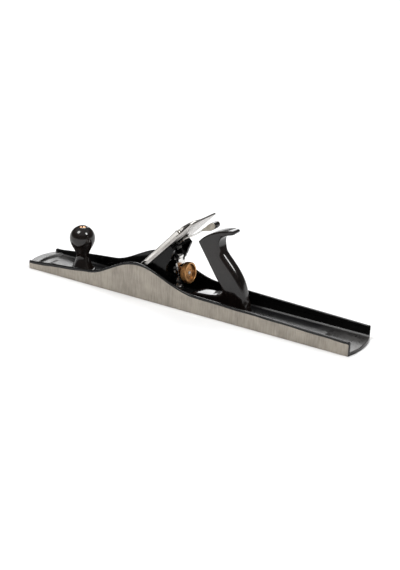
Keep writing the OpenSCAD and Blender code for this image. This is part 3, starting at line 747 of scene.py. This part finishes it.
def lever_top(s):
    """Height of its top over the bed, along the middle."""
    pts = curve([(7, 8), (9, 9.2), (13, 9.4), (20, 9.4)], 10)
    pts += curve([(20, 9.4), (60, 9.4), (105, 12.3), (LEVER_S, 12.3)], 24) + [(LEVER_S, 12.3)]
    return float(np.interp(s, [p[0] for p in pts], [p[1] for p in pts]))


def lever_skirt(s):
    """Height of the bottom of its side skirts."""
    return float(np.interp(s, [7, 12, 18, 24, 30, LEVER_S], [7.2, 7.4, 6.4, 5.0, 4.7, 4.7]))


def lever_under(s):
    """Height of its hollow underside between the skirts."""
    return float(np.interp(s, [24, 28, 100, 120, 132], [4.8, 6.2, 8.6, 8.6, 9.2]))


def make_lever_cap():
    """Two lofted halves that meet down the middle and part round the keyhole and the cam."""
    b = Build()

    def hole_half(s):
        """Half width of the keyhole, or of the gap for the cam."""
        if s >= EAR_S:
            return EAR_GAP
        wide = KEY_R ** 2 - (s - KEY_S) ** 2
        slot_end = SLOT_R ** 2 - max(0, s - SCREW_S) ** 2
        half = math.sqrt(wide) if wide > 0 else 0
        if KEY_S <= s <= SCREW_S + SLOT_R and slot_end > 0:
            half = max(half, math.sqrt(slot_end))
        return half

    marks = [7.0, 7.3, KEY_S - KEY_R, KEY_S - 8.5, KEY_S - 8.2, KEY_S - 7.6, KEY_S + KEY_R,
             SCREW_S, SCREW_S + 3.2, SCREW_S + 3.8, SCREW_S + 4.1, SCREW_S + SLOT_R,
             EAR_S - 0.01, EAR_S, LEVER_S - 1.2, LEVER_S - 0.4, LEVER_S]
    ss = sorted({round(float(v), 3) for v in list(np.arange(8, LEVER_S, 1.5)) + marks})
    shares = [0, 0.02, 0.06, 0.12, 0.2, 0.32, 0.46, 0.6, 0.74, 0.86, 0.94, 0.985, 1]
    for side in (-1, 1):
        loops = []
        for s in ss:
            outer, inner = lever_half_width(s), hole_half(s)
            top, low, under = lever_top(s), lever_skirt(s), lever_under(s)
            end = max(0.0, 1 - (LEVER_S - s) / 1.2)
            loop = []
            for f in shares:
                y = mix(inner, outer, f)
                # the crown across the cap, and its rounded edge
                fall = 1.5 * (y / outer) ** 2 + 1.1 * max(0, (y - outer + 2.2) / 2.2) ** 2.5
                loop.append((s, side * y, top - fall * min(1, (top - low) / 4) - 0.5 * end ** 2))
            loop.append((s, side * outer, mix(top, low, 0.72)))
            loop.append((s, side * (outer - 0.3), low))
            skirt = outer - SKIRT_T
            hollow = under if 24 < s < EAR_S else low
            for y in (skirt, skirt - 0.05):
                loop.append((s, side * max(y, inner), low if y == skirt else hollow))
            loop.append((s, side * inner, hollow))
            loops.append(loop)
        b.loft(loops, bed)
    piece("lever_cap_plated", b, ("chrome",), "cap_group", ["lever_cap"], 34)


def make_cam():
    """The thumb lever: a broad tongue that curls over, and the drum that turns on the pin."""
    b = Build()
    top = curve([(PIN_S + 2, 12.6), (153, 13.4), (164, 11.4), (172, 5.6)], 26) + [(172, 5.6)]
    low = curve([(PIN_S + 2, 6.6), (150, 7.2), (158, 9.6), (171, 4.9)], 26) + [(171, 4.9)]
    loops = []
    for (s, h), (s2, h2) in zip(top, low):
        tongue = smooth((s - 147.5) / 4)
        reach = max(0.0, (s - 152) / 20.6)
        half = mix(14.6, TONGUE_HALF * math.sqrt(max(0.02, 1 - reach ** 3.2)), tongue)
        loop = []
        for a in np.linspace(0, math.pi, 17):
            y = half * math.cos(a)
            fall = 1.9 * (y / TONGUE_HALF) ** 2 + 0.9 * (abs(y) / half) ** 8
            loop.append((s, y, h - fall))
        for a in np.linspace(0, 1, 9):
            y = -half * (1 - 2 * a)
            loop.append((mix(s, s2, 0.8), y * 0.97,
                         min(h2, h - 1.2) - 1.4 * (y / TONGUE_HALF) ** 2))
        loops.append(loop)
    b.loft(loops, bed)
    drum = [(2.06, -14.9), (3.3, -14.9), (3.65, -14.5),
            (3.65, 14.5), (3.3, 14.9), (2.06, 14.9), (2.06, -14.9)]
    b.turned(drum, lambda x, y, z: bed(PIN_S + x, z, PIN_H + y), 48)
    piece("cam_lever_plated", b, ("chrome",), "cam", ["lever_cap_cam"], 40)


def make_lateral():
    """A flat strip, the bar bent back from it and the folded thumb tab."""
    b = Build()
    bar_h, cheek_y = -2.2, 6.0
    tip_s, tip_r = 108, 5.5
    strip = [(102.6, 0)] + [(tip_s - tip_r * math.cos(math.radians(a)),
                             tip_r * math.sin(math.radians(a))) for a in range(15, 95, 15)]
    strip += [(113, 5.8), (118, 6.5), (124, 5.9), (131, 5.0)]
    outline = strip + [(s, -y) for s, y in reversed(strip[1:])]
    centre = curve([(131, bar_h), (142, bar_h), (152, -9.2), (176, -10.2)], 18) + [(176, -10.2)]
    b.plate(outline, 1.0, lambda s, y, h: bed(s, y, bar_h + h), edge=0.4, grid=4.0)
    loops = []
    for i, (s, h) in enumerate([(128.0, bar_h)] + centre):
        half = 5.1 - 0.6 * math.sin(math.pi * i / 19)
        loops.append([(s, y, h + z) for y, z in (
            (-half, -0.6), (-half + 0.4, -1.0), (half - 0.4, -1.0), (half, -0.6),
            (half, 0.6), (half - 0.4, 1.0), (-half + 0.4, 1.0), (-half, 0.6))])
    b.loft(loops, bed)
    tab = [(172, -9.6), (180, -9.8)]
    tab += curve([(189, -10), (194, -10.6), (196.5, -13.6), (195.6, -17)], 10)
    tab += curve([(195.6, -17), (194, -21), (187, -21), (182, -17.5)], 10)
    tab += [(182, -17.5), (176, -13.6), (172, -11.3)]
    rim = tab[:-2]
    for y in (-cheek_y, cheek_y):
        b.plate(tab, 1.0, lambda s, h, t, y=y: bed(s, y + t, h), edge=0.5, grid=3.0, tag=1)
    # the web that joins the two cheeks runs round the tab's outer edge
    loops = []
    for k in range(len(rim) - 2):
        p, q = np.array(rim[k]), np.array(rim[k + 1])
        d = (q - p) / np.linalg.norm(q - p)
        normal = np.array((d[1], -d[0]))
        inner = p + normal * 1.9
        loops.append([(p[0], -6.2, p[1]), (p[0], 6.2, p[1]),
                      (inner[0], 6.2, inner[1]), (inner[0], -6.2, inner[1])])
    b.loft(loops, bed, 2)
    piece("lateral_lever_bar", b, ("bright", "tab_side", "tab_end"),
          "lateral", ["lateral_lever"], 35)


def make_all():
    """Every piece that stands in for a CAD node."""
    make_body()
    make_knob()
    make_nuts()
    make_tote()
    make_wheel()
    make_lever_cap()
    make_cam()
    make_lateral()


def paint_floor_light_and_shade():
    """Enamel that is satin and lighter grey towards both ends of the casting and near black in the
    middle: the lighter ends are painted light and the dark middle is painted shade, where the side
    walls shade the floor.
    """
    mat = MATS["floor"] = MATS["floor_enamel"]
    nodes, link, shader = links(mat)
    old = shader.inputs["Base Color"].links[0].from_socket
    place = nodes.new("ShaderNodeTexCoord")
    parts = nodes.new("ShaderNodeSeparateXYZ")
    link.new(place.outputs["Object"], parts.inputs[0])
    away = nodes.new("ShaderNodeMath")
    away.operation = "ABSOLUTE"
    link.new(parts.outputs["X"], away.inputs[0])
    # 0 in the middle of the casting, 1 towards both ends: how much painted light the floor gets
    share = spread(nodes, link, away.outputs[0], 0.0, 1.0, (0.2, 0.272))
    painted_light_mix = nodes.new("ShaderNodeMix")
    painted_light_mix.data_type = "RGBA"
    link.new(share, painted_light_mix.inputs["Factor"])
    # near black in the middle: painted shade where the walls shade the floor
    painted_light_mix.inputs["A"].default_value = (0.006, 0.006, 0.0065, 1)
    link.new(old, painted_light_mix.inputs["B"])
    link.new(painted_light_mix.outputs["Result"], shader.inputs["Base Color"])


# CAD nodes that keep their shape, with the finish of each.
KEPT = {
    "frog": "frog", "frog_screws": "screw", "frog_washers": "screw",
    "frog_adjusting_screw": "screw", "frog_clip": "bright", "frog_clip_screw": "screw",
    "iron": "steel", "cap_iron": "steel", "cap_iron_screw": "screw", "cam_pin": "screw",
    "lever_cap_spring": "bronze", "spring_rivet": "screw", "lever_cap_screw": "screw",
    "yoke": "bright", "yoke_pin": "screw", "lateral_rivet": "screw", "lateral_disc": "screw",
    "knob_bolt": "screw", "tote_bolt": "screw", "tote_toe_screw": "screw",
}
EASE, FROG_EASE, KEPT_WELD = 0.22, 0.9, 0.01


def dress_kept():
    """Gives the kept CAD nodes their finish and eases their edges."""
    for name, key in KEPT.items():
        obj = frame["nodes"][name]
        obj.data.materials.clear()
        obj.data.materials.append(MATS[key])
        weld = obj.modifiers.new("weld", "WELD")
        weld.merge_threshold = KEPT_WELD * MM
        ease = obj.modifiers.new("ease", "BEVEL")
        ease.width = (FROG_EASE if name == "frog" else EASE) * MM
        ease.segments = 2
        ease.limit_method = "ANGLE"
        ease.angle_limit = math.radians(40)
        ease.harden_normals = False


# ---------------------------------------------------------------- stage, light and camera

TARGET = Vector((21.70, 0, 29.59)) * MM
AZIMUTH, ELEVATION, ROLL = 31.75, 21.52, 1.95     # degrees
DISTANCE = 1545.8 * MM
LENS, SENSOR = 68.03, 36.0
FLOOR_REACH, FLOOR_Z = 15.0, -0.0003             # metres
# Grey of the sky against the height of the direction, then each light: name, azimuth,
# elevation, power and width in degrees.
SKY = [(0.0, 1.0), (0.05, 0.9), (0.11, 0.12), (0.5, 0.1), (0.72, 0.45), (1.0, 0.5)]
SUNS = [("key", -30, 60, 1.5, 22), ("side", 95, 48, 1.2, 16), ("back", 212, 55, 0.8, 30),
        ("low_back", 210, 23, 0.7, 26)]


def aimed(obj, back, roll=0.0, distance=1.0):
    """Places a light or camera at distance along back from the target, looking at it."""
    back = Vector(back).normalized()
    right = Vector((0, 0, 1)).cross(back).normalized()
    up = back.cross(right)
    r = right * math.cos(roll) + up * math.sin(roll)
    u = up * math.cos(roll) - right * math.sin(roll)
    m = Matrix((r, u, back)).transposed().to_4x4()
    m.translation = TARGET + back * distance
    obj.matrix_world = m


def direction(azimuth, elevation):
    """The direction towards an azimuth, counted from the near side, and an elevation."""
    a, e = math.radians(azimuth), math.radians(elevation)
    return (math.sin(a) * math.cos(e), -math.cos(a) * math.cos(e), math.sin(e))


def soft_sun(name, azimuth, elevation, power, wide):
    """A wide, soft sun; wide is its angular size in degrees."""
    data = bpy.data.lights.new(name, "SUN")
    data.energy = power
    data.angle = math.radians(wide)
    obj = bpy.data.objects.new(name, data)
    bpy.context.scene.collection.objects.link(obj)
    aimed(obj, direction(azimuth, elevation))


def stage_floor():
    """The plain pale floor, just under the sole."""
    mesh = bpy.data.meshes.new("stage_floor")
    corners = ((-1, -1), (1, -1), (1, 1), (-1, 1))
    mesh.from_pydata([(x * FLOOR_REACH, y * FLOOR_REACH, FLOOR_Z) for x, y in corners],
                     [], [(0, 1, 2, 3)])
    mat = bpy.data.materials.new("pale_floor")
    nodes, link, shader = links(mat)
    tone = grain(nodes, link, 3.0, (1, 1, 1))
    link.new(ramp(nodes, link, tone, [(0.3, (0.93, 0.93, 0.93)), (0.7, (0.95, 0.95, 0.95))]),
             shader.inputs["Base Color"])
    shader.inputs["Roughness"].default_value = 0.85
    mesh.materials.append(mat)
    obj = bpy.data.objects.new("stage_floor", mesh)
    bpy.context.scene.collection.objects.link(obj)


def studio():
    """Banded grey sky, soft suns, floor and the photograph's camera."""
    world = bpy.data.worlds.new("studio")
    bpy.context.scene.world = world
    world.use_nodes = True
    nodes, link = world.node_tree.nodes, world.node_tree.links
    place = nodes.new("ShaderNodeTexCoord")
    parts = nodes.new("ShaderNodeSeparateXYZ")
    link.new(place.outputs["Generated"], parts.inputs[0])
    tone = ramp(nodes, link, parts.outputs["Z"], [(at, (v, v, v)) for at, v in SKY])
    link.new(tone, nodes["Background"].inputs["Color"])
    for name, azimuth, elevation, power, wide in SUNS:
        soft_sun(name, azimuth, elevation, power, wide)
    stage_floor()
    bpy.context.scene.view_settings.view_transform = "Standard"
    data = bpy.data.cameras.new("camera")
    data.lens, data.sensor_width, data.sensor_fit = LENS, SENSOR, "AUTO"
    data.clip_end = 50
    camera = bpy.data.objects.new("camera", data)
    bpy.context.scene.collection.objects.link(camera)
    aimed(camera, direction(AZIMUTH, ELEVATION), math.radians(ROLL), DISTANCE)
    bpy.context.scene.camera = camera


paint_floor_light_and_shade()
make_all()
dress_kept()
studio()
